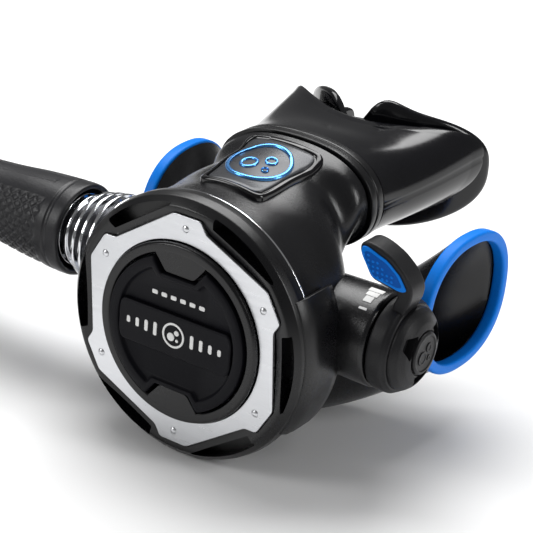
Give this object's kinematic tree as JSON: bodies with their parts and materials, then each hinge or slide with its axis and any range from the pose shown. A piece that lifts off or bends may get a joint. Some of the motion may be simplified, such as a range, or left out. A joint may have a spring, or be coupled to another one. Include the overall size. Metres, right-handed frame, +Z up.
{
  "type": "scuba regulator second stage with hose",
  "caption": "Diver's demand valve with purge button, adjuster lever, exhaust tee, bite mouthpiece and a low-pressure hose.",
  "frame": {"origin": "under the middle of the second stage, on the surface it stands on", "axes": "-Y the purge button faces, +Y towards the mouthpiece, +X the adjuster's side, -X the hose's side, +Z up"},
  "size_m": [0.3044, 0.2302, 0.079],
  "materials": {
    "satin_black": "satin, fine grain",
    "gloss_black": "gloss",
    "matte_grey": "matte",
    "rubber_black": "matte",
    "silicone_black": "smooth satin silicone",
    "satin_silver": "satin",
    "chrome": "polished",
    "steel": "plain",
    "brass": "machined",
    "clear_silicone": "translucent silicone",
    "white_plastic": "satin",
    "blue_trim": "satin",
    "blue_metal": "metallic"
  },
  "bodies": {
    "housing": {"purge_spring": "steel", "purge_bezel": "gloss_black", "face_plate": "satin_silver", "front_cover": "satin_black", "cover_grille": "steel", "trim_ring": "chrome", "diaphragm": "clear_silicone", "case_body": "satin_black", "top_badge": "gloss_black", "badge_ring": "blue_metal", "valve_barrel": "brass", "orifice_seat": "chrome", "poppet_spring": "steel", "inlet_barrel": "chrome", "exhaust_tee": "satin_black", "exhaust_rim_right": "blue_trim", "exhaust_rim_left": "blue_trim", "mouthpiece": "silicone_black", "mouthpiece_band": "satin_black", "hose_ferrule_near": "chrome", "hose": "rubber_black", "hose_protector": "rubber_black", "hose_ferrule_far": "chrome", "first_stage_fitting": "chrome", "port_o_ring": "rubber_black"},
    "purge": {"purge_button": "rubber_black"},
    "diaphragm_plate": {"diaphragm_disc": "white_plastic"},
    "lever": {"demand_lever": "steel"},
    "poppet_body": {"poppet": "white_plastic", "seat_disc": "rubber_black"},
    "adjuster": {"adjuster_knob": "matte_grey", "knob_cap": "matte_grey", "knob_badge": "gloss_black", "lever_pad": "blue_trim", "venturi_vane": "white_plastic", "adjusting_screw": "brass"},
    "pad": {"spring_pad": "white_plastic"},
    "flap": {"exhaust_valve": "clear_silicone"},
    "swivel": {"hose_swivel_nut": "chrome"}
  },
  "joints": [
    {"name": "purge_press", "type": "slide", "parent": "housing", "child": "purge", "axis": [0, 1, 0], "range_m": [0, 0.003], "stiffness_N_per_m": 900, "deforming": ["purge_spring"]},
    {"name": "diaphragm_travel", "type": "slide", "parent": "housing", "child": "diaphragm_plate", "axis": [0, 1, 0], "range_m": [0, 0.0028], "deforming": ["diaphragm"]},
    {"name": "demand_lever_tilt", "type": "hinge", "parent": "housing", "child": "lever", "pos_m": [0.0082, -0.0307, 0.0398], "axis": [0, 0, -1], "range_deg": [0, 11.6]},
    {"name": "poppet_lift", "type": "slide", "parent": "housing", "child": "poppet_body", "axis": [1, 0, 0], "range_m": [0, 0.0009], "deforming": ["poppet_spring"]},
    {"name": "adjuster_turn", "type": "hinge", "parent": "housing", "child": "adjuster", "pos_m": [0.0462, -0.0231, 0.0398], "axis": [1, 0, 0], "range_deg": [0, 75]},
    {"name": "spring_pad_travel", "type": "slide", "parent": "housing", "child": "pad", "axis": [-1, 0, 0], "range_m": [0, 0.0011]},
    {"name": "exhaust_flap_lift", "type": "slide", "parent": "housing", "child": "flap", "axis": [0, 0.8638, -0.5039], "range_m": [0, 0.0012], "stiffness_N_per_m": 30},
    {"name": "hose_nut_spin", "type": "hinge", "parent": "housing", "child": "swivel", "pos_m": [-0.0618, -0.0231, 0.0398], "axis": [1, 0, 0], "continuous": true}
  ],
  "couplings": [
    {"joint": "diaphragm_travel", "follows": "purge_press", "ratio": 0.9},
    {"joint": "demand_lever_tilt", "follows": "purge_press", "rad_per_m": 66.667},
    {"joint": "poppet_lift", "follows": "purge_press", "ratio": 0.26667},
    {"joint": "spring_pad_travel", "follows": "adjuster_turn", "m_per_rad": 0.00076}
  ]
}
